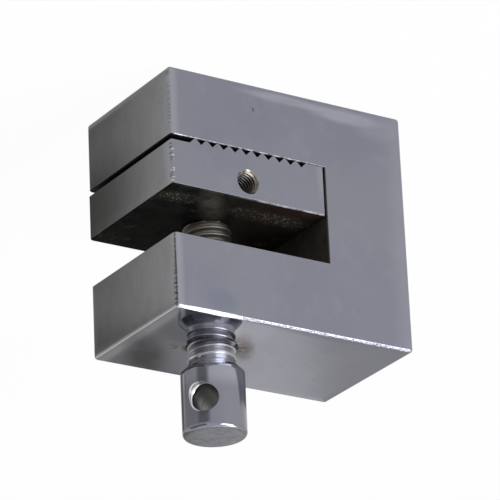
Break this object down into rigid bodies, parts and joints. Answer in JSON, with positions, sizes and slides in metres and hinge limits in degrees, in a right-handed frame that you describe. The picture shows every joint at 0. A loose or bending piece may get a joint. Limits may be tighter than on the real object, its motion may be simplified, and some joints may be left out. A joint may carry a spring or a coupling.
{
  "type": "tensile test grip",
  "caption": "C-frame screw-action grip with a serrated sliding jaw, a clamp screw with a tommy-bar hole in its round head, and a threaded mounting hole.",
  "frame": {"origin": "mouth of the mounting thread on the back of the spine, on the load line, which lies in the plane of the frame's gripping face", "axes": "+X along the load line out of the mouth of the C, +Z along the clamp screw towards its head, front side with the jaw's tapped cross hole towards -Y"},
  "size_m": [0.056, 0.0324, 0.0709],
  "materials": {
    "plated_steel": "polished and plated, with fine pits and worn edges",
    "jaw_steel": "plated, polished on its sides, dull and spotted on its back",
    "turned_steel": "turned and plated",
    "black_steel": "black oxide"
  },
  "bodies": {
    "frame": {"c_frame": "plated_steel"},
    "jaw": {"moving_jaw": "jaw_steel", "set_screw": "black_steel"},
    "screw": {"clamp_screw": "turned_steel"}
  },
  "joints": [
    {"name": "jaw_travel", "type": "slide", "parent": "frame", "child": "jaw", "axis": [0, 0, 1], "range_m": [0, 0.01]},
    {"name": "screw_turn", "type": "hinge", "parent": "jaw", "child": "screw", "pos_m": [0.0381, 0, 0.0496], "axis": [0, 0, 1], "range_deg": [0, 2400]}
  ],
  "couplings": [
    {"joint": "screw_turn", "follows": "jaw_travel", "rad_per_m": 4188.8}
  ]
}
